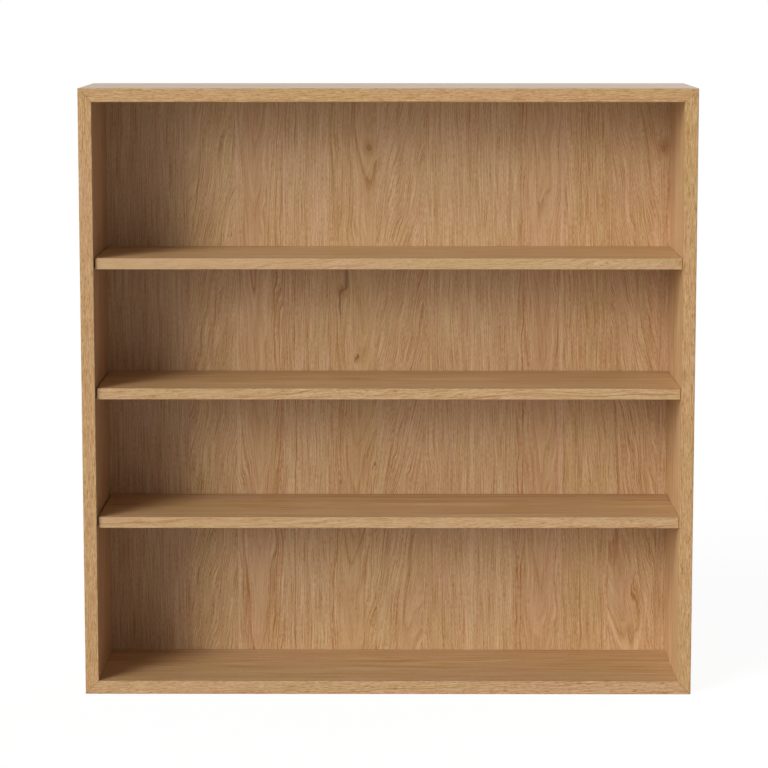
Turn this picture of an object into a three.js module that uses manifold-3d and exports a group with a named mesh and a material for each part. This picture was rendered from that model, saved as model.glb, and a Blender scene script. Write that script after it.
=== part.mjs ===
// A wall shelving unit in oak-veneered board, in millimetres. The four boards of the carcass meet in
// mitres held by plywood splines, and each has a solid oak lipping on its front edge. The back panel sits
// in a groove all round, set in from the rear, so that a bevelled batten behind it can hook over one on
// the wall. Three loose shelves rest on steel wires, hidden in a kerf in each shelf end, and slide out
// forwards. The origin is in the middle of the underside: +X right, +Y to the wall, +Z up.
import * as THREE from "three";
import { mergeVertices } from "three/addons/utils/BufferGeometryUtils.js";
import Module from "manifold-3d";

// Carcass
const width = 1050;
const height = 1047;
const depth = 270;
const boardThickness = 23.2; // a 22 mm board with a 0.6 mm veneer on each face
const lippingDepth = 5; // solid oak, front to back
const arris = 0.8; // the chamfer that breaks each front edge
const mitreGap = 0.3; // the glue line in each mitre

// Back panel, in a groove in all four boards
const backThickness = 8;
const grooveDepth = 7;
const grooveClearance = 0.3; // on each face of the back panel
const grooveEndClearance = 0.5; // between the back panel's edge and the groove's floor

// Plywood spline in each mitre
const splineThickness = 4;
const splineWidth = 16;
const splineClearance = 0.25;
const splineWall = 1.6; // the wood left between the spline's slot and the back panel's groove
const splineFrontStop = 32; // from the front, so that no slot shows
const splineRearInset = 1;

// Hanging batten behind the back panel, and the dowels that tie its ends to the sides
const battenThickness = 15;
const battenHeight = 70;
const battenBackGap = 2; // free space between the batten and the back panel
const battenEndGap = 0.3;
const dowelRadius = 4;
const dowelInSide = 12;
const dowelInBatten = 20;
const dowelClearance = 0.25;
const dowelFromTop = 17; // from the batten's upper edge to the first dowel's centre
const dowelPitch = 26;

// Shelves
const shelfThickness = 19.2; // an 18 mm board with a 0.6 mm veneer on each face
const shelfRecess = 8; // from the carcass's front edge back to the shelf's
const shelfRearGap = 1.5;
const shelfLeftGap = 2.6; // a loose shelf, lying nearer to the right side
const shelfRightGap = 0.9;
const lowestClearHeight = 268; // from the bottom board up to the lowest shelf
const shelfPitch = 224; // seven steps of the 32 mm drilling system
const shelfNames = ["lower", "middle", "upper"];

// Steel wire that carries each shelf end, and the kerf that it lies in
const wireRadius = 1.5;
const wireBendRadius = 4;
const wireStandOff = 6; // from the side's face to the middle of the wire's long run
const wireLegDepth = 9; // how far each leg goes into the side
const wireClearance = 0.3; // round the wire, in the kerf and in the leg holes
const wireFrontGap = 6; // from the kerf's front end to the wire
const wireRearInset = 45; // from the shelf's rear edge to the rear leg
const kerfFloorRoom = 1.5; // from the wire to the kerf's floor, with the shelf pushed up to that side
const kerfFrontStop = 22; // from the shelf's front edge, so that no kerf shows

const cutOverrun = 1; // how far each cutter runs past the face that it opens
const rodSides = 12;
const dowelSides = 24;
const bendSteps = 6;

// Places that several pieces share, measured back from the front edge unless named otherwise
const wallRecess = battenThickness + battenBackGap;
const backRear = depth - wallRecess;
const backFront = backRear - backThickness;
const innerHalfWidth = width / 2 - boardThickness;
const innerTop = height - boardThickness;
const shelfRear = backFront - shelfRearGap;
const kerfFront = shelfRecess + kerfFrontStop;
const wireFrontLeg = kerfFront + wireFrontGap + wireRadius;
const wireRearLeg = shelfRear - wireRearInset;
const wireRoom = wireRadius + wireClearance;
const kerfDepth = wireStandOff + wireRadius + kerfFloorRoom;
const dowelHoleRadius = dowelRadius + dowelClearance;
const battenMiddle = depth - battenThickness / 2;
const splineFromInnerCorner =
  grooveDepth * Math.SQRT2 + splineWall + splineClearance + splineThickness / 2;

const wasm = await Module();
wasm.setup();

function material(colour, roughness, metalness = 0) {
  return new THREE.MeshStandardMaterial({ color: colour, roughness, metalness });
}

const finishes = {
  veneer: material(0xb98f62, 0.5),
  lipping: material(0xc79e6d, 0.5),
  plywood: material(0xcbb188, 0.7),
  beech: material(0xd8b98c, 0.6),
  pine: material(0xd9bd8e, 0.7),
  steel: material(0xa9abad, 0.35, 1),
};

// The y of a place that is measured back from the front edge.
function fromFront(distance) {
  return distance - depth / 2;
}

// The height of each shelf's underside.
function shelfUnderside(index) {
  return boardThickness + lowestClearHeight + index * shelfPitch;
}

function toSolid(geometry) {
  const bare = new THREE.BufferGeometry();
  bare.setAttribute("position", geometry.getAttribute("position"));
  bare.setIndex(geometry.index);
  const merged = mergeVertices(bare);
  const vertProperties = merged.getAttribute("position").array;
  const triVerts = new Uint32Array(merged.index.array);
  return new wasm.Manifold(new wasm.Mesh({ numProp: 3, vertProperties, triVerts }));
}

// A geometry with each of the cutters taken away from it.
function cut(geometry, cutters) {
  const left = cutters.reduce((solid, cutter) => solid.subtract(toSolid(cutter)), toSolid(geometry));
  const mesh = left.getMesh();
  const indexed = new THREE.BufferGeometry();
  indexed.setAttribute("position", new THREE.BufferAttribute(mesh.vertProperties, 3));
  indexed.setIndex(new THREE.BufferAttribute(mesh.triVerts, 1));
  const flat = indexed.toNonIndexed();
  flat.computeVertexNormals();
  return flat;
}

// A bar along X. Its section is a list of [y, z] points, anticlockwise seen from +X. endAt gives the x of
// the right-hand end at a height z, and the left-hand end mirrors it.
function bar(section, endAt) {
  const outline = section.map(([y, z]) => new THREE.Vector2(y, z));
  const right = section.map(([y, z]) => [endAt(z), y, z]);
  const left = section.map(([y, z]) => [-endAt(z), y, z]);
  const corners = [];
  for (const [a, b, c] of THREE.ShapeUtils.triangulateShape(outline, [])) {
    corners.push(right[a], right[b], right[c], left[a], left[c], left[b]);
  }
  section.forEach((_, i) => {
    const next = (i + 1) % section.length;
    corners.push(right[i], left[i], left[next], right[i], left[next], right[next]);
  });
  const geometry = new THREE.BufferGeometry();
  geometry.setAttribute("position", new THREE.Float32BufferAttribute(corners.flat(), 3));
  geometry.computeVertexNormals();
  return geometry;
}

// A box between two opposite corners.
function boxBetween(low, high) {
  const sizes = high.map((value, i) => value - low[i]);
  const middles = high.map((value, i) => (value + low[i]) / 2);
  return new THREE.BoxGeometry(...sizes).translate(...middles);
}

// A cylinder along X from one x to another.
function rodAlongX(radius, fromX, toX, y, z, sides) {
  return new THREE.CylinderGeometry(radius, radius, toX - fromX, sides)
    .rotateZ(Math.PI / 2)
    .translate((fromX + toX) / 2, y, z);
}

// The end of a mitred member: its length over the outer face, drawn in by its own height and the glue line.
function mitredEnd(length) {
  return (z) => length / 2 - z - mitreGap / Math.SQRT2;
}

function lippingSection(thickness, frontAt) {
  const front = fromFront(frontAt);
  const rear = front + lippingDepth;
  return [
    [front + arris, 0],
    [rear, 0],
    [rear, thickness],
    [front + arris, thickness],
    [front, thickness - arris],
    [front, arris],
  ];
}

// A carcass board's section, with the back panel's groove in its inner face.
function boardSection() {
  const front = fromFront(lippingDepth);
  const rear = fromFront(depth);
  const grooveFront = fromFront(backFront - grooveClearance);
  const grooveRear = fromFront(backRear + grooveClearance);
  const grooveFloor = boardThickness - grooveDepth;
  return [
    [front, 0],
    [rear, 0],
    [rear, boardThickness],
    [grooveRear, boardThickness],
    [grooveRear, grooveFloor],
    [grooveFront, grooveFloor],
    [grooveFront, boardThickness],
    [front, boardThickness],
  ];
}

// A piece of spline, or its slot where a clearance is given, lying along Y on a turned section.
function splineBlank(clearance, x, z, turn) {
  const rear = clearance ? depth + cutOverrun : depth - splineRearInset;
  const front = splineFrontStop - clearance;
  return new THREE.BoxGeometry(
    splineWidth + 2 * clearance,
    rear - front,
    splineThickness + 2 * clearance,
  )
    .rotateY(turn)
    .translate(x, fromFront((front + rear) / 2), z);
}

// How far the spline's middle lies out from the inner corner of the mitre, along each board's thickness.
const splineReach = splineFromInnerCorner / Math.SQRT2;

function splineSlots(length) {
  const x = length / 2 - boardThickness + splineReach;
  const z = boardThickness - splineReach;
  return [
    splineBlank(splineClearance, x, z, -Math.PI / 4),
    splineBlank(splineClearance, -x, z, Math.PI / 4),
  ];
}

// Holes in a side board. The board lies along X here with its inner face up, and x is its height from
// the middle of the carcass, counted upwards or downwards as its direction says.
function sideHoles(direction) {
  const holes = [];
  const drill = (radius, holeDepth, place, up, sides) => {
    const length = holeDepth + cutOverrun;
    const hole = new THREE.CylinderGeometry(radius, radius, length, sides).rotateX(Math.PI / 2);
    const middle = boardThickness + cutOverrun - length / 2;
    holes.push(hole.translate(direction * (up - height / 2), fromFront(place), middle));
  };
  shelfNames.forEach((_, i) => {
    const up = shelfUnderside(i) + shelfThickness / 2;
    for (const place of [wireFrontLeg, wireRearLeg]) {
      drill(wireRoom, wireLegDepth + wireClearance, place, up, rodSides);
    }
  });
  for (const up of dowelHeights()) {
    drill(dowelHoleRadius, dowelInSide + dowelClearance, battenMiddle, up, dowelSides);
  }
  return holes;
}

function dowelHeights() {
  const first = innerTop - battenEndGap - dowelFromTop;
  return [first, first - dowelPitch];
}

// The four mitred members, each with its turn about Y, the place of its outer face and its length.
const members = [
  { name: "bottom", turn: 0, at: [0, 0, 0], length: width },
  { name: "top", turn: Math.PI, at: [0, 0, height], length: width },
  { name: "left_side", turn: Math.PI / 2, at: [-width / 2, 0, height / 2], length: height, holes: -1 },
  { name: "right_side", turn: -Math.PI / 2, at: [width / 2, 0, height / 2], length: height, holes: 1 },
];

function mesh(name, geometry, finish) {
  const made = new THREE.Mesh(geometry, finish);
  made.name = name;
  return made;
}

function carcassMember({ name, turn, at, length, holes }) {
  const group = new THREE.Group();
  const endAt = mitredEnd(length);
  const cutters = splineSlots(length).concat(holes ? sideHoles(holes) : []);
  group.add(
    mesh(`${name}_board`, cut(bar(boardSection(), endAt), cutters), finishes.veneer),
    mesh(`${name}_lipping`, bar(lippingSection(boardThickness, 0), endAt), finishes.lipping),
  );
  group.rotation.y = turn;
  group.position.set(...at);
  return group;
}

function splines() {
  const x = innerHalfWidth + splineReach;
  const corners = [
    ["bottom_left", -x, boardThickness - splineReach, Math.PI / 4],
    ["bottom_right", x, boardThickness - splineReach, -Math.PI / 4],
    ["top_left", -x, innerTop + splineReach, -Math.PI / 4],
    ["top_right", x, innerTop + splineReach, Math.PI / 4],
  ];
  return corners.map(([name, cornerX, z, turn]) =>
    mesh(`mitre_spline_${name}`, splineBlank(0, cornerX, z, turn), finishes.plywood),
  );
}

function backPanel() {
  const reach = grooveDepth - grooveEndClearance;
  const low = [-innerHalfWidth - reach, fromFront(backFront), boardThickness - reach];
  const high = [innerHalfWidth + reach, fromFront(backRear), innerTop + reach];
  return mesh("back_panel", boxBetween(low, high), finishes.veneer);
}

// The batten's lower edge slopes down to the wall at 45 degrees, to drop behind the batten on the wall.
function hangingBatten() {
  const front = fromFront(depth - battenThickness);
  const rear = fromFront(depth);
  const upper = innerTop - battenEndGap;
  const lower = upper - battenHeight;
  const section = [
    [front, lower + battenThickness],
    [rear, lower],
    [rear, upper],
    [front, upper],
  ];
  const halfLength = innerHalfWidth - battenEndGap;
  const y = fromFront(battenMiddle);
  const mortise = halfLength - dowelInBatten - dowelClearance;
  const past = halfLength + cutOverrun;
  const mortises = dowelHeights().flatMap((z) => [
    rodAlongX(dowelHoleRadius, mortise, past, y, z, dowelSides),
    rodAlongX(dowelHoleRadius, -past, -mortise, y, z, dowelSides),
  ]);
  return mesh("hanging_batten", cut(bar(section, () => halfLength), mortises), finishes.pine);
}

function battenDowels() {
  const outer = innerHalfWidth + dowelInSide;
  const inner = innerHalfWidth - battenEndGap - dowelInBatten;
  const y = fromFront(battenMiddle);
  return dowelHeights().flatMap((z, i) => {
    const level = ["upper", "lower"][i];
    const left = rodAlongX(dowelRadius, -outer, -inner, y, z, dowelSides);
    const right = rodAlongX(dowelRadius, inner, outer, y, z, dowelSides);
    return [
      mesh(`batten_dowel_left_${level}`, left, finishes.beech),
      mesh(`batten_dowel_right_${level}`, right, finishes.beech),
    ];
  });
}

// A rod's centre line through a list of points, stepped from point to point.
class BentRod extends THREE.Curve {
  constructor(points) {
    super();
    this.points = points;
  }

  getPoint(t, target = new THREE.Vector3()) {
    const place = t * (this.points.length - 1);
    const i = Math.min(Math.floor(place), this.points.length - 2);
    return target.lerpVectors(this.points[i], this.points[i + 1], place - i);
  }

  getUtoTmapping(u) {
    return u;
  }
}

// A U of wire: a leg into the side, a bend, the run that the shelf rests on, a bend and the other leg.
// side is -1 at the left side of the carcass and 1 at the right.
function shelfWire(name, side, z) {
  const points = [];
  const add = (fromSide, place) =>
    points.push(new THREE.Vector3(side * (innerHalfWidth - fromSide), fromFront(place), z));
  const bendStart = wireStandOff - wireBendRadius;
  add(-wireLegDepth, wireFrontLeg);
  for (let step = 0; step <= bendSteps; step += 1) {
    const angle = (step / bendSteps) * (Math.PI / 2);
    add(
      bendStart + wireBendRadius * Math.sin(angle),
      wireFrontLeg + wireBendRadius * (1 - Math.cos(angle)),
    );
  }
  for (let step = bendSteps; step >= 0; step -= 1) {
    const angle = (step / bendSteps) * (Math.PI / 2);
    add(
      bendStart + wireBendRadius * Math.sin(angle),
      wireRearLeg - wireBendRadius * (1 - Math.cos(angle)),
    );
  }
  add(-wireLegDepth, wireRearLeg);
  const circle = new THREE.Shape().absarc(0, 0, wireRadius, 0, 2 * Math.PI);
  const geometry = new THREE.ExtrudeGeometry(circle, {
    curveSegments: rodSides,
    steps: points.length - 1,
    bevelEnabled: false,
    extrudePath: new BentRod(points),
  });
  return mesh(name, geometry, finishes.steel);
}

// One shelf, with a kerf in each end that is stopped at the front and open at the rear, and its two wires.
function shelf(name, index) {
  const underside = shelfUnderside(index);
  const length = 2 * innerHalfWidth - shelfLeftGap - shelfRightGap;
  const offset = (shelfLeftGap - shelfRightGap) / 2;
  const halfLength = length / 2;
  const low = [-halfLength, fromFront(shelfRecess + lippingDepth), 0];
  const board = boxBetween(low, [halfLength, fromFront(shelfRear), shelfThickness]);
  const kerf = (side) => {
    const ends = [side * (halfLength - kerfDepth), side * (halfLength + cutOverrun)];
    return boxBetween(
      [Math.min(...ends), fromFront(kerfFront), shelfThickness / 2 - wireRoom],
      [Math.max(...ends), fromFront(shelfRear + cutOverrun), shelfThickness / 2 + wireRoom],
    );
  };
  const lipping = bar(lippingSection(shelfThickness, shelfRecess), () => halfLength);
  const loose = new THREE.Group();
  loose.add(
    mesh(`shelf_${name}_board`, cut(board, [kerf(-1), kerf(1)]), finishes.veneer),
    mesh(`shelf_${name}_lipping`, lipping, finishes.lipping),
  );
  loose.position.set(offset, 0, underside);
  const wireHeight = underside + shelfThickness / 2;
  return [
    loose,
    shelfWire(`shelf_wire_${name}_left`, -1, wireHeight),
    shelfWire(`shelf_wire_${name}_right`, 1, wireHeight),
  ];
}

const unit = new THREE.Group();
unit.add(
  ...members.map(carcassMember),
  ...splines(),
  backPanel(),
  hangingBatten(),
  ...battenDowels(),
  ...shelfNames.flatMap(shelf),
);

export default unit;
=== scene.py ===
"""A wall shelving unit in oak veneer with solid oak front edges, in a plain white studio."""
import math
from collections import namedtuple

import bpy
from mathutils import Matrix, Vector


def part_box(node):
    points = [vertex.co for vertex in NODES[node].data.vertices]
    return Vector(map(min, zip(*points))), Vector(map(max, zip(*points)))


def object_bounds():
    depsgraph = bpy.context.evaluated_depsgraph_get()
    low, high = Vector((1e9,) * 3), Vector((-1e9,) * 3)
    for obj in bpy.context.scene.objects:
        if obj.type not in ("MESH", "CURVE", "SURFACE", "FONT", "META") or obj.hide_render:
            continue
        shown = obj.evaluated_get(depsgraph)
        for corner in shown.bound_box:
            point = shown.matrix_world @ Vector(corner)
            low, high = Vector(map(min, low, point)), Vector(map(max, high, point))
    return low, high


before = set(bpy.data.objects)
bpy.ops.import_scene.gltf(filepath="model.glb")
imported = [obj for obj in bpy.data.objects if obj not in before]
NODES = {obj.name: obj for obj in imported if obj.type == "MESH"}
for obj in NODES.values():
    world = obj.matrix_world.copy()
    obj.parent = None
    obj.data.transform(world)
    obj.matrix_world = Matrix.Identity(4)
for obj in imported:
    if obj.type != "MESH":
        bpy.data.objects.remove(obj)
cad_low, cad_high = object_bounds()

MM = 0.001


# Shader building

# Blender's noise goes from 0 to 1, round this middle
NOISE_MIDDLE = 0.5
WANDER_DETAIL = 1.0

# The numbers of the Mix node's sockets for colours
MIX_FIRST = 6
MIX_SECOND = 7
MIX_RESULT = 2

# Where in a colour ramp's step it is read, as a share of the step
STEP_MIDDLE_SHARE = 0.5


class Value:
    """A number at each point of a surface. Arithmetic on it adds Math nodes to its tree."""

    def __init__(self, tree, socket):
        self.tree = tree
        self.socket = socket

    def math(self, operation, *others):
        node = self.tree.nodes.new("ShaderNodeMath")
        node.operation = operation
        for place, value in enumerate((self, *others)):
            feed(self.tree, node.inputs[place], value)
        return Value(self.tree, node.outputs[0])

    def __add__(self, other):
        return self.math("ADD", other)

    def __sub__(self, other):
        return self.math("SUBTRACT", other)

    def __mul__(self, other):
        return self.math("MULTIPLY", other)

    def __truediv__(self, other):
        return self.math("DIVIDE", other)

    def root(self):
        return self.math("SQRT")

    def floor(self):
        return self.math("FLOOR")

    def size(self):
        return self.math("ABSOLUTE")

    def least(self, other):
        return self.math("MINIMUM", other)

    def most(self, other):
        return self.math("MAXIMUM", other)

    def sign(self):
        return self.math("SIGN")

    def below(self, limit):
        return self.math("LESS_THAN", limit)

    def above(self, limit):
        return self.math("GREATER_THAN", limit)


def feed(tree, socket, value):
    """Links a node's output to a socket, or sets the socket to a plain number or colour."""
    if isinstance(value, Value):
        tree.links.new(value.socket, socket)
    elif isinstance(value, bpy.types.NodeSocket):
        tree.links.new(value, socket)
    else:
        socket.default_value = value


def colour(red, green, blue):
    return (red, green, blue, 1.0)


def point(tree, x, y, z):
    node = tree.nodes.new("ShaderNodeCombineXYZ")
    for place, value in enumerate((x, y, z)):
        feed(tree, node.inputs[place], value)
    return node.outputs[0]


def object_spot(tree):
    """Where a point of the surface is along x, y and z."""
    node = tree.nodes.new("ShaderNodeSeparateXYZ")
    feed(tree, node.inputs[0], tree.nodes.new("ShaderNodeTexCoord").outputs["Object"])
    return [Value(tree, out) for out in node.outputs]


def rise(value, start, end):
    """Goes smoothly from 0 to 1 while the value goes from start to end."""
    node = value.tree.nodes.new("ShaderNodeMapRange")
    node.interpolation_type = "SMOOTHSTEP"
    feed(value.tree, node.inputs["Value"], value)
    feed(value.tree, node.inputs["From Min"], start)
    feed(value.tree, node.inputs["From Max"], end)
    return Value(value.tree, node.outputs["Result"])


def blend(tree, amount, first, second, mode="MIX"):
    node = tree.nodes.new("ShaderNodeMix")
    node.data_type = "RGBA"
    node.blend_type = mode
    feed(tree, node.inputs["Factor"], amount)
    feed(tree, node.inputs[MIX_FIRST], first)
    feed(tree, node.inputs[MIX_SECOND], second)
    return node.outputs[MIX_RESULT]


def chance(value):
    """A random number from 0 to 1, the same wherever the value is the same."""
    node = value.tree.nodes.new("ShaderNodeTexWhiteNoise")
    node.noise_dimensions = "1D"
    feed(value.tree, node.inputs["W"], value)
    return Value(value.tree, node.outputs["Value"])


def noise_value(tree, node):
    """A noise node's number, from -0.5 to 0.5."""
    return Value(tree, node.outputs["Fac"]) - NOISE_MIDDLE


def wander(value):
    """A slow random number from -0.5 to 0.5 along one value."""
    node = value.tree.nodes.new("ShaderNodeTexNoise")
    node.noise_dimensions = "1D"
    feed(value.tree, node.inputs["W"], value)
    feed(value.tree, node.inputs["Scale"], 1.0)
    feed(value.tree, node.inputs["Detail"], WANDER_DETAIL)
    return noise_value(value.tree, node)


# A place in a piece of wood: how far it is across the piece, into it and along its grain, and its seed
Place = namedtuple("Place", "tree across depth along seed")

# A layer of the grain: how big its blotches are across and along it, their detail and roughness, and a seed
Layer = namedtuple("Layer", "across along detail roughness seed")


def in_axes(spot, axes):
    """A spot's across, depth and along, where axes are the letters of the three."""
    return [spot["xyz".index(letter)] for letter in axes]


def solid_place(tree, axes, seed):
    """The place in a piece of solid wood, which has one seed all over."""
    across, depth, along = in_axes(object_spot(tree), axes)
    return Place(tree, across, depth, along, across * 0.0 + seed)


def grain_noise(place, layer):
    """Noise from -0.5 to 0.5 that is stretched along the grain."""
    tree = place.tree
    shift = place.seed + layer.seed
    spot = point(
        tree,
        place.across / layer.across + shift,
        place.depth / layer.across,
        place.along / layer.along + shift,
    )
    node = tree.nodes.new("ShaderNodeTexNoise")
    feed(tree, node.inputs["Vector"], spot)
    feed(tree, node.inputs["Scale"], 1.0)
    feed(tree, node.inputs["Detail"], layer.detail)
    feed(tree, node.inputs["Roughness"], layer.roughness)
    return noise_value(tree, node)


def leaf_table(index, rows):
    """Gives each veneer leaf its own numbers, as the steps of a colour ramp."""
    tree = index.tree
    node = tree.nodes.new("ShaderNodeValToRGB")
    ramp = node.color_ramp
    ramp.interpolation = "CONSTANT"
    ramp.elements.remove(ramp.elements[1])
    ramp.elements[0].position = 0.0
    ramp.elements[0].color = rows[0]
    for number in range(1, len(rows)):
        ramp.elements.new(number / len(rows)).color = rows[number]
    feed(tree, node.inputs[0], (index + STEP_MIDDLE_SHARE) / len(rows))
    split = tree.nodes.new("ShaderNodeSeparateColor")
    feed(tree, split.inputs[0], node.outputs["Color"])
    return [Value(tree, out) for out in (*split.outputs, node.outputs["Alpha"])]


def new_material(name):
    material = bpy.data.materials.new(name)
    material.use_nodes = True
    return material, material.node_tree, material.node_tree.nodes["Principled BSDF"]


def bump(tree, surface, height):
    """Raises a surface by a height in metres."""
    node = tree.nodes.new("ShaderNodeBump")
    node.inputs["Strength"].default_value = 1.0
    node.inputs["Distance"].default_value = 1.0
    feed(tree, node.inputs["Height"], height)
    tree.links.new(node.outputs["Normal"], surface.inputs["Normal"])


def put(node, material):
    """Gives a node one material."""
    slots = NODES[node].data.materials
    slots.clear()
    slots.append(material)


# Oak

# The darkest and lightest of the grain's own tones and the middle between them
DARK_GRAIN = colour(0.340, 0.153, 0.025)
LIGHT_GRAIN = colour(0.660, 0.458, 0.265)
MIDDLE_TONE = 0.57

# The colour of the pores and how strongly they show in a veneer and in a sawn face
PORE_OAK = colour(0.200, 0.092, 0.030)
VENEER_PORES = 0.15
SAWN_PORES = 0.42

# What the colour is multiplied by where it is yellowest and where it is pinkest, how far its hue goes each
# way, and what the clouds and the bands add to it
YELLOW_TURN = colour(0.985, 1.01, 0.95)
PINK_TURN = colour(1.02, 0.985, 1.04)
HUE_REACH = 0.30
CLOUD_HUE = 1.2
BAND_HUE = 0.9

# The layers that bend the growth rings, and how far they move them
SWAY = Layer(50.0 * MM, 200.0 * MM, 1.0, 0.5, 0.0)
SWAY_REACH = 24.0 * MM
SWELL = Layer(80.0 * MM, 260.0 * MM, 1.0, 0.5, 7.0)
SWELL_REACH = 7.0 * MM
WAVE = Layer(24.0 * MM, 70.0 * MM, 1.0, 0.5, 11.0)
WAVE_REACH = 9.0 * MM
WAVE_DEPTH_SHARE = 0.5
RIPPLE = Layer(8.0 * MM, 26.0 * MM, 1.0, 0.5, 17.0)
RIPPLE_REACH = 1.4 * MM

# How many times as much the ripple bends the knots and cracks
RIPPLE_WANDER = 2.0

# The layers that shade the wood, from the finest to the broadest, and the one that fades its lines
VESSEL = Layer(1.0 * MM, 8.0 * MM, 1.0, 0.5, 23.0)
VENEER_FIBRE = Layer(1.1 * MM, 70.0 * MM, 1.0, 0.5, 31.0)
SAWN_FIBRE = Layer(0.95 * MM, 26.0 * MM, 1.0, 0.5, 31.0)
GROWTH = Layer(1.8 * MM, 320.0 * MM, 1.0, 0.5, 37.0)
STREAK = Layer(5.0 * MM, 300.0 * MM, 1.0, 0.5, 41.0)
BAND = Layer(13.0 * MM, 500.0 * MM, 2.0, 0.5, 47.0)
CLOUD = Layer(26.0 * MM, 260.0 * MM, 2.0, 0.5, 53.0)
FADE = Layer(5.0 * MM, 70.0 * MM, 2.0, 0.5, 29.0)

# How strongly each layer shows in the back panel, in a board and in a sawn lipping
Weights = namedtuple("Weights", "vessel fibre growth streak band cloud line")
PANEL_WEIGHTS = Weights(1.00, 1.65, 0.50, 0.34, 0.50, 0.30, 0.75)
BOARD_WEIGHTS = Weights(0.50, 1.40, 0.60, 0.85, 0.80, 0.28, 0.90)
SAWN_WEIGHTS = Weights(1.00, 1.35, 0.15, 0.04, 0.04, 0.05, 0.75)

# Where a piece lay in its log: how far it is from the pith, how it leans and drifts, how wavy it grew and
# how strongly its rings show
Cut = namedtuple("Cut", "axis distance lean drift waviness rings")

# The width of a ring, how soon that changes from ring to ring, and by how many rings they are shifted
RING_WIDTH = 4.5 * MM
SPACING_RATE = 0.4
SPACING_REACH = 2.4

# How few rings are strong, and how strong the faintest is
STRONG_RING_POWER = 2.5
FAINTEST_RING_SHARE = 0.20

# How steeply a ring's dark line fades, the share of the ring that its sharp edge takes, and how much and
# round which strength it comes and goes along the grain
LINE_FADE_POWER = 4.0
LINE_EDGE_SHARE = 0.07
LINE_CHANGE = 2.4
LINE_MIDDLE = 0.75

# How much further the fine grain goes towards dark than towards light
DARKER_SHARE = 0.45

# Half the width of the blunt end of a ring's V, and half the width by which it is kept from closing up
V_BLUNTNESS = 2.0 * MM
V_OPENING = 11.0 * MM

# How far the wood is smoother on each side of a V, and how much of its fibre is left in the middle
SMOOTH_MIDDLE = 36.0 * MM
SMOOTH_FIBRE_SHARE = 0.4

# How far the fibres and the vessels follow the rings
FIBRE_RING_SHARE = 0.6
VESSEL_RING_SHARE = 0.3

# How many more pores there are in a ring's line, and how deep a vessel is where a pore begins and is full
LINE_PORES = 0.12
PORE_START = 0.10
PORE_FULL = 0.25

# Two dark veins and a pale streak, by their place across a leaf
Marks = namedtuple("Marks", "vein second_vein pale")
VEIN_WIDTH = 1.3 * MM
VEIN_STRENGTH = 0.85
PALE_WIDTH = 7.0 * MM
PALE_STRENGTH = 0.60
PALE_OAK = colour(0.70, 0.50, 0.32)

Figure = namedtuple("Figure", "line pore vessel fibre tone hue pale wander")


def ring_distance(side, height):
    """How far a place is from the pith, drawn out so that the rings end in points where they turn."""
    widened = (side * side + V_BLUNTNESS * V_BLUNTNESS).root() + V_OPENING
    return (widened * widened + height * height).root()


def ring_line(place, radius, ring_width, rings):
    """The dark line at the start of each ring."""
    count = radius / ring_width
    count = count + wander(count * SPACING_RATE + place.seed) * SPACING_REACH
    ring = count.floor()
    part = count - ring
    drawn = chance(ring + place.seed).math("POWER", STRONG_RING_POWER)
    strength = drawn * (1.0 - FAINTEST_RING_SHARE) + FAINTEST_RING_SHARE
    fading = (part * -1.0 + 1.0).math("POWER", LINE_FADE_POWER)
    return fading * rise(part, 0.0, LINE_EDGE_SHARE) * strength * rings


def between(share, followed, straight):
    """A place across the grain that follows the rings by a share."""
    return followed * share + straight * (1.0 - share)


def oak_figure(place, cut, ring_width, weights, fibre_layer, marks=None):
    """Works out the rings, pores and streaks of a piece of oak at a place in it."""
    sway = grain_noise(place, SWAY) * cut.waviness * SWAY_REACH
    swell = grain_noise(place, SWELL) * SWELL_REACH
    wave = grain_noise(place, WAVE) * cut.waviness * WAVE_REACH
    ripple = grain_noise(place, RIPPLE) * RIPPLE_REACH
    side = place.across + sway + wave + ripple - cut.axis - place.along * cut.drift
    height = place.depth + cut.distance + place.along * cut.lean + swell + wave * WAVE_DEPTH_SHARE
    radius = ring_distance(side, height)
    line = ring_line(place, radius, ring_width, cut.rings)
    band = grain_noise(place, BAND)
    pale = None
    if marks:
        for vein in (marks.vein, marks.second_vein):
            from_vein = (side + cut.axis - vein).size()
            line = line.most(rise(from_vein * -1.0, -VEIN_WIDTH, 0.0) * VEIN_STRENGTH)
        from_pale = (place.across - marks.pale).size()
        pale = rise(from_pale * -1.0, -PALE_WIDTH, 0.0) * (band + NOISE_MIDDLE)
    line = line * (grain_noise(place, FADE) * LINE_CHANGE + LINE_MIDDLE).most(0.0)
    flanked = side.sign() * radius
    fibrous = rise(side.size(), 0.0, SMOOTH_MIDDLE) * (1.0 - SMOOTH_FIBRE_SHARE) + SMOOTH_FIBRE_SHARE
    in_fibre = place._replace(across=between(FIBRE_RING_SHARE, flanked, side))
    in_vessel = place._replace(across=between(VESSEL_RING_SHARE, flanked, side))
    fibre = grain_noise(in_fibre, fibre_layer) * fibrous
    vessel = grain_noise(in_vessel, VESSEL) * fibrous
    pore = rise(line * LINE_PORES - vessel, PORE_START, PORE_FULL)
    growth = grain_noise(place._replace(across=radius), GROWTH)
    streak = grain_noise(place._replace(across=radius), STREAK)
    cloud = grain_noise(place, CLOUD)
    fine = vessel * weights.vessel + fibre * weights.fibre + growth * weights.growth
    tone = (
        fine
        - fine * fine * DARKER_SHARE
        + streak * weights.streak
        + band * weights.band
        + cloud * weights.cloud
        - line * weights.line
        + MIDDLE_TONE
    )
    hue = cloud * CLOUD_HUE - band * BAND_HUE
    return Figure(line, pore, vessel, fibre, tone, hue, pale, wave + ripple * RIPPLE_WANDER)


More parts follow.
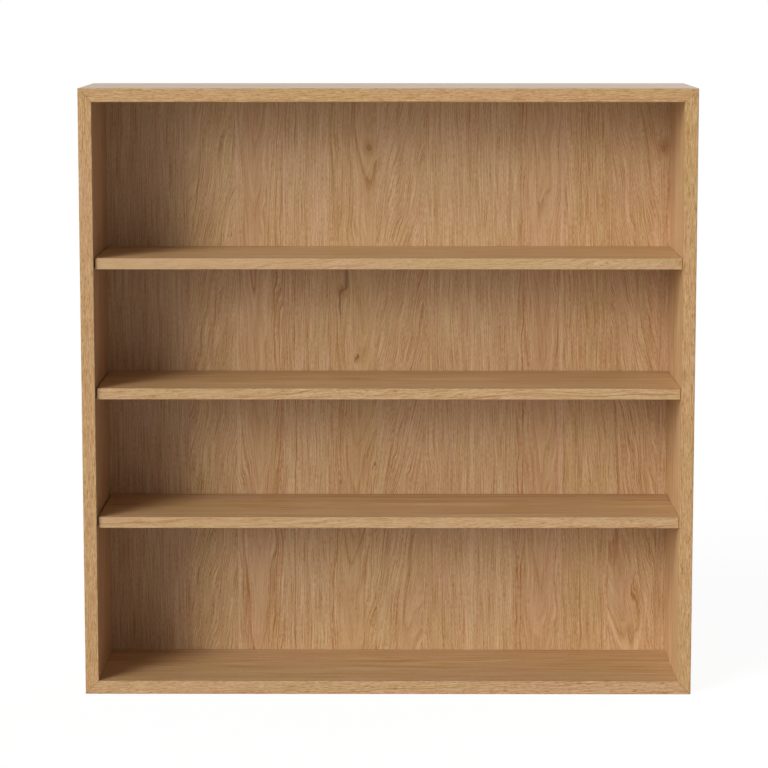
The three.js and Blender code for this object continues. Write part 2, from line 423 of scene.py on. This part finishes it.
def oak_colour(place, figure, tint, pore_strength):
    """Mixes the colour of finished oak from its figure."""
    tree = place.tree
    base = blend(tree, figure.tone, DARK_GRAIN, LIGHT_GRAIN)
    base = blend(tree, figure.pore * pore_strength, base, PORE_OAK)
    turn = blend(tree, rise(figure.hue, -HUE_REACH, HUE_REACH), YELLOW_TURN, PINK_TURN)
    base = blend(tree, 1.0, base, turn, "MULTIPLY")
    base = blend(tree, 1.0, base, tint, "MULTIPLY")
    if figure.pale:
        base = blend(tree, figure.pale * PALE_STRENGTH, base, PALE_OAK)
    return base


# How far a coat sinks over the pores and the rings, and rises over the fibres
PORE_DEPTH = 0.02 * MM
LINE_DEPTH = 0.015 * MM
FIBRE_HEIGHT = 0.015 * MM

# How much rougher a coat is over the pores and the rings
PORE_ROUGHNESS = 0.12
LINE_ROUGHNESS = 0.08

# How rough and how bright a coat is, and how much pale haze it has when it is seen from a low angle: matt
# lacquer, and the oil on the top board
Coat = namedtuple("Coat", "roughness level haze")
LACQUER = Coat(0.43, 0.50, 0.00)
OIL = Coat(0.66, 0.30, 0.25)


def oak_surface(tree, surface, figure, colours, coat):
    """Finishes an oak surface in a thin coat that lies a little deeper over the pores."""
    roughness = figure.pore * PORE_ROUGHNESS + figure.line * LINE_ROUGHNESS + coat.roughness
    feed(tree, surface.inputs["Base Color"], colours)
    feed(tree, surface.inputs["Roughness"], roughness)
    surface.inputs["Specular IOR Level"].default_value = coat.level
    surface.inputs["Sheen Weight"].default_value = coat.haze
    bump(tree, surface, figure.fibre * FIBRE_HEIGHT - figure.pore * PORE_DEPTH - figure.line * LINE_DEPTH)


# The boards' core of pressed wood fibre: its colours, how many of its fibres lie in a millimetre and their
# detail, and the noise at which it is darkest and lightest
DARK_CORE = colour(0.270, 0.170, 0.092)
LIGHT_CORE = colour(0.390, 0.260, 0.150)
CORE_SCALE = 0.9
CORE_DETAIL = 3.0
CORE_DARKEST = 0.35
CORE_LIGHTEST = 0.65


def core_colour(tree, place):
    """Pressed wood fibre under the veneer."""
    spot = point(tree, place.across / MM, place.depth / MM, place.along / MM)
    node = tree.nodes.new("ShaderNodeTexNoise")
    feed(tree, node.inputs["Vector"], spot)
    feed(tree, node.inputs["Scale"], CORE_SCALE)
    feed(tree, node.inputs["Detail"], CORE_DETAIL)
    amount = rise(Value(tree, node.outputs["Fac"]), CORE_DARKEST, CORE_LIGHTEST)
    return blend(tree, amount, DARK_CORE, LIGHT_CORE)


# The tints of the veneer leaves, which multiply the oak's own colour
TONES = {
    "plain": (1.00, 1.00, 1.00),
    "brown": (0.95, 0.93, 0.925),
    "deep": (0.93, 0.905, 0.90),
    "pink": (1.00, 0.965, 0.965),
    "grey": (1.01, 1.02, 1.035),
    "yellow": (0.995, 0.99, 0.935),
    # A grey-blue tint that paints in the pale reflection seen on the top board from a low angle, not the
    # wood's own tone
    "painted_reflection_grey": (0.88, 0.955, 1.11),
    # Painted light that makes the lit inner face of the right side board paler
    "pale": (1.13, 1.15, 1.18),
    # Painted shade that darkens the shaded inner face of the left side board
    "painted_shade_russet": (0.95, 0.895, 0.96),
}

# A leaf of veneer: its tone, and its cut and marks in millimetres from its left edge
Leaf = namedtuple("Leaf", "tone axis distance lean drift waviness rings vein second_vein pale")

# The place of a mark that a leaf doesn't have
NONE = -500.0

# Leaves laid side by side, and where the seam after the first of them lies
Sheet = namedtuple("Sheet", "first_seam leaf_width leaves")

# A leaf table holds no number below 0, so those that may be negative are lifted by this in it
TABLE_LIFT = 1.0


def leaf_cut(across, sheet):
    """Finds the leaf at a place: its number, the place across it, its cut, its marks and its tint."""
    tree = across.tree
    leaves = sheet.leaves
    steps = (across - sheet.first_seam) / sheet.leaf_width
    index = (steps.floor() + 1.0).most(0.0).least(len(leaves) - 1.0)
    local = across - sheet.first_seam - (index - 1.0) * sheet.leaf_width
    axis, distance, lean, drift = leaf_table(index, [
        (TABLE_LIFT + leaf.axis * MM, leaf.distance * MM, TABLE_LIFT + leaf.lean, TABLE_LIFT + leaf.drift)
        for leaf in leaves])
    vein, second_vein, pale, rings = leaf_table(index, [
        (*(TABLE_LIFT + mark * MM for mark in (leaf.vein, leaf.second_vein, leaf.pale)), leaf.rings)
        for leaf in leaves])
    red, green, blue, waviness = leaf_table(index, [(*TONES[leaf.tone], leaf.waviness) for leaf in leaves])
    tint = tree.nodes.new("ShaderNodeCombineColor")
    for number, value in enumerate((red, green, blue)):
        feed(tree, tint.inputs[number], value)
    cut = Cut(axis - TABLE_LIFT, distance, lean - TABLE_LIFT, drift - TABLE_LIFT, waviness, rings)
    marks = Marks(vein - TABLE_LIFT, second_vein - TABLE_LIFT, pale - TABLE_LIFT)
    return index, local, cut, marks, tint.outputs[0]


Knot = namedtuple("Knot", "across along radius")

# How far a knot reaches as shares of its radius, across and along the grain: its eye, the stain round it
# and the grain that it bends
EYE_SHARES = (1.1, 1.5)
STAIN_SHARES = (2.6, 4.0)
BEND_SHARES = (2.6, 7.0)

# How far a knot pushes the grain aside, and how quickly that dies away
BEND_STRENGTH = 0.50
BEND_POWER = -2.0

# A knot's eye and the strokes of its stain: their colours and strengths, how ragged the eye is, and how
# broken the strokes are round which strength
EYE_OAK = colour(0.250, 0.100, 0.012)
EYE_STRENGTH = 0.65
EYE_RAGGEDNESS = 6.0
STAIN_OAK = colour(0.330, 0.145, 0.020)
STAIN_STRENGTH = 0.80
STROKE_RAGGEDNESS = 3.0
STROKE_MIDDLE = 0.50


def from_knot(across, along, knot, shares):
    """How far a place is from a knot's middle, where 1 is the edge of the oval that the shares give."""
    side = (across - knot.across) / (knot.radius * shares[0])
    length = (along - knot.along) / (knot.radius * shares[1])
    return side * side + length * length


def bend_round(across, along, knot):
    """How far the grain is pushed away from a knot's middle."""
    push = (from_knot(across, along, knot, BEND_SHARES) + 1.0).math("POWER", BEND_POWER) * BEND_STRENGTH
    return (across - knot.across) * push


def knot_colour(tree, across, along, knot, patchy, colours):
    """Reddens the wood round a pin knot in short strokes and darkens its eye."""
    stain = rise(from_knot(across, along, knot, STAIN_SHARES) * -1.0, -1.0, 0.0)
    eye = rise(patchy * EYE_RAGGEDNESS - from_knot(across, along, knot, EYE_SHARES), -1.0, 0.0)
    strokes = (patchy * STROKE_RAGGEDNESS + STROKE_MIDDLE).most(0.0).least(1.0)
    colours = blend(tree, stain * strokes * STAIN_STRENGTH, colours, STAIN_OAK)
    return blend(tree, eye * EYE_STRENGTH, colours, EYE_OAK)


# A crack along the grain: its middle, half its length, half its width at its wide end and its step sideways
Crack = namedtuple("Crack", "across along reach width step")
CRACK_NARROW_SHARE = 0.45
CRACK_STEP_SHARE = 0.15

# A crack's colour and strength, how blunt its ends and how ragged its edges are, and where it starts and is
# full, where 1 is its edge
CRACK_OAK = colour(0.140, 0.060, 0.006)
CRACK_STRENGTH = 0.72
CRACK_END_POWER = 4.0
CRACK_RAGGEDNESS = 3.0
CRACK_START = 1.3
CRACK_FULL = 0.2


def crack_colour(tree, across, along, crack, patchy, colours):
    """Darkens a crack that steps sideways near its middle and narrows towards its lower end."""
    stepped = crack.reach * CRACK_STEP_SHARE
    upper = rise(along, crack.along - stepped, crack.along + stepped)
    width = upper * (crack.width * (1.0 - CRACK_NARROW_SHARE)) + crack.width * CRACK_NARROW_SHARE
    side = (across - crack.across - (upper - 0.5) * crack.step) / width
    length = (along - crack.along) / crack.reach
    from_crack = side * side + length.math("POWER", CRACK_END_POWER)
    inside = rise(from_crack - patchy * CRACK_RAGGEDNESS, CRACK_START, CRACK_FULL)
    return blend(tree, inside * CRACK_STRENGTH, colours, CRACK_OAK)


# The thickness of a veneer, and the dark line along the seams of its leaves
VENEER = 0.6 * MM
SEAM_HALF_WIDTH = 0.25 * MM
SEAM_STRENGTH = 0.30

# What is added to the seed from one leaf to the next
LEAF_SEED_STEP = 5.3

# What is added to the seed and to the place of the veneer on the far side of a board with knots, so that
# its grain differs and the knots and cracks are out of its reach
FAR_SEED = 40.0
FAR_PLACE = 5.0

# The tone of a side board's inner face, and whether that is the face further along the depth axis. The tone
# is painted light: paler on the lit right inner face, darker on the shaded left one
Inner = namedtuple("Inner", "tone far")


def under_veneer(spots, axes, from_face, node, banded):
    """1 where the veneer covers the core: on both faces, and on the ends and edges of a banded board."""
    low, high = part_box(node)
    middle = (low + high) / 2
    covered = from_face.below(VENEER)
    if banded:
        for letter in axes.replace(axes[1], ""):
            number = "xyz".index(letter)
            outwards = (spots[number] - middle[number]).size()
            covered = covered.most(outwards.above((high[number] - low[number]) / 2 - VENEER))
    return covered


def veneered_board(
        name, axes, node, sheet, weights, seed, knots=(), cracks=(), banded=False, inner=None, coat=LACQUER):
    """A material for a veneered board, where axes are the letters of its across, depth and along axes."""
    material, tree, surface = new_material(name)
    spots = object_spot(tree)
    across, depth, along = in_axes(spots, axes)
    index, local, cut, marks, tint = leaf_cut(across, sheet)
    low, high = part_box(node)
    middle = (low + high) / 2
    number = "xyz".index(axes[1])
    from_face = (depth - middle[number]).size() * -1.0 + (high[number] - low[number]) / 2
    from_middle = along - middle["xyz".index(axes[2])]
    far_side = (depth - middle[number]).above(0.0)
    # The inner face's tint is painted light and shade: paler where the face is lit, darker where it is
    # shaded
    if inner:
        inside = far_side if inner.far else far_side * -1.0 + 1.0
        tint = blend(tree, inside, tint, colour(*TONES[inner.tone]))
    seeds = index * LEAF_SEED_STEP + seed
    bent = local
    marked = across
    if knots:
        seeds = seeds + far_side * FAR_SEED
        marked = across + far_side * FAR_PLACE
    for knot in knots:
        bent = bent - bend_round(marked, along, knot)
    place = Place(tree, bent, from_face, from_middle, seeds)
    figure = oak_figure(place, cut, RING_WIDTH, weights, VENEER_FIBRE, marks)
    colours = oak_colour(place, figure, tint, VENEER_PORES)
    wandering = marked + figure.wander
    for knot in knots:
        colours = knot_colour(tree, wandering, along, knot, figure.fibre + figure.vessel, colours)
    for crack in cracks:
        colours = crack_colour(tree, wandering, along, crack, figure.fibre + figure.vessel, colours)
    seam = (local.least(local * -1.0 + sheet.leaf_width)).below(SEAM_HALF_WIDTH)
    colours = blend(tree, seam * SEAM_STRENGTH, colours, PORE_OAK)
    covered = under_veneer(spots, axes, from_face, node, banded)
    colours = blend(tree, covered, core_colour(tree, place), colours)
    oak_surface(tree, surface, figure, colours, coat)
    return material


def solid_oak(name, axes, cut, weights, seed, tint):
    """A material for a lipping sawn from solid oak."""
    material, tree, surface = new_material(name)
    place = solid_place(tree, axes, seed)
    figure = oak_figure(place, cut, RING_WIDTH, weights, SAWN_FIBRE)
    colours = oak_colour(place, figure, colour(*tint), SAWN_PORES)
    oak_surface(tree, surface, figure, colours, LACQUER)
    return material


# The back panel's leaves, from left to right, with their seams where the photograph shows them
BACK_SHEET = Sheet(-440.0 * MM, 83.8 * MM, [
    Leaf("deep", -150, 60, -0.010, 0.00, 0.3, 0.6, NONE, NONE, NONE),
    Leaf("brown", 140, 50, -0.020, 0.00, 0.4, 0.6, NONE, NONE, NONE),
    Leaf("yellow", -38, 110, -0.080, 0.10, 1.0, 0.9, -20, 35, NONE),
    Leaf("pink", 38, 60, -0.040, 0.00, 1.3, 1.2, 70, 79, 2),
    Leaf("grey", -95, 60, -0.010, 0.00, 0.6, 0.7, 22, NONE, NONE),
    Leaf("yellow", 56, 90, -0.060, 0.04, 1.2, 1.2, 6, 26, NONE),
    Leaf("plain", 150, 90, -0.040, 0.20, 1.2, 0.9, 60, 76, NONE),
    Leaf("plain", 175, 90, -0.040, 0.00, 0.8, 0.6, NONE, NONE, NONE),
    Leaf("grey", -90, 60, 0.030, 0.00, 0.6, 0.6, NONE, NONE, 4),
    Leaf("pink", 44, 60, -0.040, 0.00, 1.2, 0.8, 4, 12, 80),
    Leaf("yellow", -60, 90, 0.060, 0.00, 0.8, 0.8, 30, NONE, NONE),
    Leaf("plain", -60, 100, -0.070, -0.20, 1.2, 1.1, 12, 22, NONE),
    Leaf("brown", -60, 50, -0.010, 0.00, 0.5, 0.7, NONE, NONE, NONE),
])
BACK_KNOTS = [
    Knot(-36.0 * MM, 934.0 * MM, 5.5 * MM),
    Knot(491.0 * MM, 936.0 * MM, 6.0 * MM),
    Knot(-83.0 * MM, 678.0 * MM, 5.0 * MM),
    Knot(-55.0 * MM, 556.0 * MM, 3.0 * MM),
]
BACK_CRACKS = [
    Crack(-80.5 * MM, 679.0 * MM, 50.0 * MM, 3.8 * MM, 11.0 * MM),
    Crack(-56.0 * MM, 556.0 * MM, 9.0 * MM, 2.2 * MM, 6.0 * MM),
    Crack(-27.0 * MM, 361.0 * MM, 8.0 * MM, 2.0 * MM, 4.0 * MM),
]
BACK_SEED = 2.0

put("back_panel", veneered_board(
    "oak_back", "xyz", "back_panel", BACK_SHEET, PANEL_WEIGHTS, BACK_SEED, BACK_KNOTS, BACK_CRACKS))

# The boards' leaves, from front to back
BOARD_SHEET = Sheet(-45.0 * MM, 92.0 * MM, [
    Leaf("plain", -140, 60, -0.010, 0.00, 0.7, 0.6, NONE, NONE, NONE),
    Leaf("yellow", 44, 80, -0.030, 0.00, 1.0, 0.8, NONE, NONE, NONE),
    Leaf("plain", 160, 60, -0.010, 0.00, 0.7, 0.6, NONE, NONE, NONE),
])


def in_tone(sheet, tone):
    """The same leaves, all in one tone."""
    return sheet._replace(leaves=[leaf._replace(tone=tone) for leaf in sheet.leaves])


# The boards: the letters of their across, depth and along axes, their leaves, their seed, whether their ends
# are veneered too, their inner face where it differs, and their coat
BOARDS = {
    # The side boards' inner tones are painted light and shade
    "left_side_board": ("yxz", BOARD_SHEET, 13.0, False, Inner("painted_shade_russet", True), LACQUER),
    "right_side_board": ("yxz", BOARD_SHEET, 20.0, False, Inner("pale", False), LACQUER),
    "bottom_board": ("yzx", BOARD_SHEET, 31.0, False, None, LACQUER),
    # The top board's grey-blue tone is painted reflection
    "top_board": ("yzx", in_tone(BOARD_SHEET, "painted_reflection_grey"), 38.0, False, None, OIL),
    "shelf_lower_board": ("yzx", BOARD_SHEET, 53.0, True, None, LACQUER),
    "shelf_middle_board": ("yzx", BOARD_SHEET, 60.0, True, None, LACQUER),
    "shelf_upper_board": ("yzx", BOARD_SHEET, 67.0, True, None, LACQUER),
}
for node, (axes, sheet, seed, banded, inner, coat) in BOARDS.items():
    put(node, veneered_board(
        "oak_" + node, axes, node, sheet, BOARD_WEIGHTS, seed, banded=banded, inner=inner, coat=coat))

# The lippings: the letters of their across, depth and along axes, their cuts, their tints and how clear
# their grain is
GOLDEN = (0.880, 0.830, 0.710)
STRAW = (0.905, 0.890, 0.865)
LIPPINGS = {
    "bottom_lipping": ("zyx", Cut(110 * MM, 90 * MM, -0.020, 0.030, 0.8, 1.4), STRAW, 1.25),
    "top_lipping": ("zyx", Cut(1180 * MM, 60 * MM, -0.004, 0.004, 0.4, 0.60), GOLDEN, 1.25),
    "left_side_lipping": ("xyz", Cut(-640 * MM, 60 * MM, -0.004, 0.004, 0.4, 0.60), GOLDEN, 1.40),
    "right_side_lipping": ("xyz", Cut(600 * MM, 60 * MM, -0.006, -0.005, 0.5, 0.50), GOLDEN, 1.30),
    "shelf_lower_lipping": ("zyx", Cut(330 * MM, 60 * MM, -0.010, 0.025, 0.6, 0.9), STRAW, 0.90),
    "shelf_middle_lipping": ("zyx", Cut(480 * MM, 60 * MM, -0.010, 0.060, 1.2, 1.6), STRAW, 1.05),
    "shelf_upper_lipping": ("zyx", Cut(800 * MM, 60 * MM, -0.010, 0.120, 1.6, 1.3), STRAW, 0.68),
}
LIPPING_SEED = 101.0
LIPPING_SEED_STEP = 9.0
for number, (node, (axes, cut, tint, clearness)) in enumerate(LIPPINGS.items()):
    weights = Weights(*(weight * clearness for weight in SAWN_WEIGHTS))
    seed = LIPPING_SEED + LIPPING_SEED_STEP * number
    put(node, solid_oak("oak_" + node, axes, cut, weights, seed, tint))


# Hidden woods and steel

# A wood that isn't lacquered: its colours, the width of its rings, its cut, its seed and its roughness
Wood = namedtuple("Wood", "light dark ring_width cut seed roughness")
PINE = Wood(
    colour(0.68, 0.47, 0.25), colour(0.47, 0.25, 0.10), 3.2 * MM,
    Cut(940 * MM, 35 * MM, -0.02, 0.0, 0.7, 0.9), 211.0, 0.62)
BEECH = Wood(
    colour(0.62, 0.42, 0.27), colour(0.47, 0.28, 0.16), 1.6 * MM,
    Cut(900 * MM, 40 * MM, 0.0, 0.0, 0.7, 0.9), 223.0, 0.55)

# How far the fibres go each way and how much they darken these woods, and how high fibres and rings stand
PLAIN_FIBRE_REACH = 0.3
PLAIN_FIBRE_STRENGTH = 0.18
PLAIN_FIBRE_HEIGHT = 0.03 * MM
PLAIN_LINE_HEIGHT = 0.02 * MM

# The tongues' plywood
LIGHT_BIRCH = colour(0.66, 0.48, 0.30)
DARK_BIRCH = colour(0.50, 0.33, 0.19)
PLY_THICKNESS = 1.33 * MM
PLY_ROUGHNESS = 0.6

# The wires' zinc plate, with drawing marks that are so long for each millimetre of width and so fine
DARK_ZINC = colour(0.52, 0.53, 0.55)
LIGHT_ZINC = colour(0.70, 0.71, 0.73)
ZINC_MARK_LENGTH = 30.0 * MM
ZINC_MARK_SCALE = 2.0
ZINC_ROUGHNESS = 0.22
ZINC_MARK_ROUGHNESS = 0.2


def plain_wood(name, axes, wood):
    """Unlacquered wood with dark late growth."""
    material, tree, surface = new_material(name)
    place = solid_place(tree, axes, wood.seed)
    figure = oak_figure(place, wood.cut, wood.ring_width, SAWN_WEIGHTS, SAWN_FIBRE)
    colours = blend(tree, figure.line.least(1.0), wood.light, wood.dark)
    fibres = rise(figure.fibre, -PLAIN_FIBRE_REACH, PLAIN_FIBRE_REACH)
    colours = blend(tree, fibres * PLAIN_FIBRE_STRENGTH, colours, wood.dark)
    feed(tree, surface.inputs["Base Color"], colours)
    surface.inputs["Roughness"].default_value = wood.roughness
    bump(tree, surface, figure.line * PLAIN_LINE_HEIGHT + figure.fibre * PLAIN_FIBRE_HEIGHT)
    return material


def plywood(name):
    """Thin birch layers, light and dark by turns, across the tongue's 45 degree thickness."""
    material, tree, surface = new_material(name)
    x, _, z = object_spot(tree)
    through = (x.size() + z) * math.sqrt(0.5) / PLY_THICKNESS
    every_second = (through.floor() * 0.5).math("FRACT").above(0.25)
    feed(tree, surface.inputs["Base Color"], blend(tree, every_second, LIGHT_BIRCH, DARK_BIRCH))
    surface.inputs["Roughness"].default_value = PLY_ROUGHNESS
    return material


def zinc_plate(name):
    """Bright zinc-plated steel wire with fine marks from the drawing die."""
    material, tree, surface = new_material(name)
    x, y, z = object_spot(tree)
    node = tree.nodes.new("ShaderNodeTexNoise")
    feed(tree, node.inputs["Vector"], point(tree, x / MM, y / ZINC_MARK_LENGTH, z / MM))
    feed(tree, node.inputs["Scale"], ZINC_MARK_SCALE)
    marks = Value(tree, node.outputs["Fac"])
    feed(tree, surface.inputs["Base Color"], blend(tree, marks, DARK_ZINC, LIGHT_ZINC))
    surface.inputs["Metallic"].default_value = 1.0
    feed(tree, surface.inputs["Roughness"], marks * ZINC_MARK_ROUGHNESS + ZINC_ROUGHNESS)
    return material


put("hanging_batten", plain_wood("pine", "zyx", PINE))
HIDDEN = {
    "batten_dowel": plain_wood("beech", "zyx", BEECH),
    "mitre_spline": plywood("birch_plywood"),
    "shelf_wire": zinc_plate("zinc_plated_steel"),
}
for node in NODES:
    for start, material in HIDDEN.items():
        if node.startswith(start):
            put(node, material)


# Studio

WHITE = colour(1.0, 1.0, 1.0)
AMBIENT = 0.22

# The floor's size and colour, how much of what is seen of it is its own light, and how bright that is
FLOOR_SIZE = 60.0
FLOOR_GREY = colour(0.75, 0.75, 0.75)
FLOOR_LIGHT_SHARE = 0.85
FLOOR_BRIGHTNESS = 1.09

# The lights: where they come from and how wide they are in degrees, and their strength
SUNS = {
    "key_lowest": (-36.0, 8.0, 35.0, 0.24),
    "key_low": (-35.0, 15.0, 20.0, 0.15),
    "key_middle": (-38.0, 28.0, 35.0, 0.365),
    "key_high": (-40.0, 40.0, 20.0, 0.25),
    "rear_fill": (140.0, 6.0, 70.0, 0.52),
}


def seen_directly(tree):
    """1 for a ray from the camera, a reflection or a view through glass, and 0 for light on the object."""
    light_path = tree.nodes.new("ShaderNodeLightPath")
    camera_ray = Value(tree, light_path.outputs["Is Camera Ray"])
    glossy_ray = Value(tree, light_path.outputs["Is Glossy Ray"])
    through_ray = Value(tree, light_path.outputs["Is Transmission Ray"])
    return camera_ray.most(glossy_ray).most(through_ray)


def make_world():
    """White where it is seen, and a weaker even light on the object."""
    world = bpy.data.worlds.new("studio")
    bpy.context.scene.world = world
    world.use_nodes = True
    tree = world.node_tree
    background = tree.nodes["Background"]
    background.inputs["Color"].default_value = WHITE
    feed(tree, background.inputs["Strength"], seen_directly(tree) * (1.0 - AMBIENT) + AMBIENT)


def make_floor():
    """A white floor that keeps a faint shadow."""
    bpy.ops.mesh.primitive_plane_add(size=FLOOR_SIZE, location=(0.0, 0.0, cad_low.z))
    floor = bpy.context.object
    floor.name = "studio_floor"
    material, tree, surface = new_material("white_floor")
    surface.inputs["Base Color"].default_value = FLOOR_GREY
    surface.inputs["Roughness"].default_value = 1.0
    surface.inputs["Specular IOR Level"].default_value = 0.0
    glow = tree.nodes.new("ShaderNodeEmission")
    glow.inputs["Strength"].default_value = FLOOR_BRIGHTNESS
    mix = tree.nodes.new("ShaderNodeMixShader")
    feed(tree, mix.inputs[0], seen_directly(tree) * FLOOR_LIGHT_SHARE)
    feed(tree, mix.inputs[1], surface.outputs[0])
    feed(tree, mix.inputs[2], glow.outputs[0])
    feed(tree, tree.nodes["Material Output"].inputs["Surface"], mix.outputs[0])
    floor.data.materials.append(material)


def add_sun(name, azimuth, elevation, width, strength):
    """A broad soft light. At strength 1, a surface that faces it renders in its own colour."""
    light = bpy.data.lights.new(name, "SUN")
    light.energy = strength * math.pi
    light.angle = math.radians(width)
    lamp = bpy.data.objects.new(name, light)
    bpy.context.scene.collection.objects.link(lamp)
    turn = math.radians(azimuth)
    tilt = math.radians(elevation)
    towards = Vector((math.sin(turn) * math.cos(tilt), -math.cos(turn) * math.cos(tilt), math.sin(tilt)))
    lamp.rotation_euler = (-towards).to_track_quat("-Z", "Y").to_euler()


make_world()
make_floor()
for name, sun in SUNS.items():
    add_sun(name, *sun)


# Camera

# The photograph's size and the camera's focal length in its pixels
PHOTO_SIZE = 768.0
FOCAL_PIXELS = 2924.7
SENSOR_WIDTH = 36.0

# The camera's place, as shares of the unit's width, and how far it looks down and to the left in radians
UNIT_WIDTH = cad_high.x - cad_low.x
CAMERA_SIDE_SHARE = 0.01173
CAMERA_BACK_SHARE = 4.72274
CAMERA_HEIGHT_SHARE = 1.15879
CAMERA_DOWN = 0.13495
CAMERA_TURN = 0.00388

camera_data = bpy.data.cameras.new("camera")
camera_data.sensor_width = SENSOR_WIDTH
camera_data.lens = FOCAL_PIXELS / PHOTO_SIZE * SENSOR_WIDTH
camera = bpy.data.objects.new("camera", camera_data)
bpy.context.scene.collection.objects.link(camera)
camera.location = (
    CAMERA_SIDE_SHARE * UNIT_WIDTH,
    cad_low.y - CAMERA_BACK_SHARE * UNIT_WIDTH,
    CAMERA_HEIGHT_SHARE * UNIT_WIDTH,
)
camera.rotation_euler = (math.pi / 2 - CAMERA_DOWN, 0.0, CAMERA_TURN)
bpy.context.scene.camera = camera
bpy.context.scene.view_settings.view_transform = "Standard"
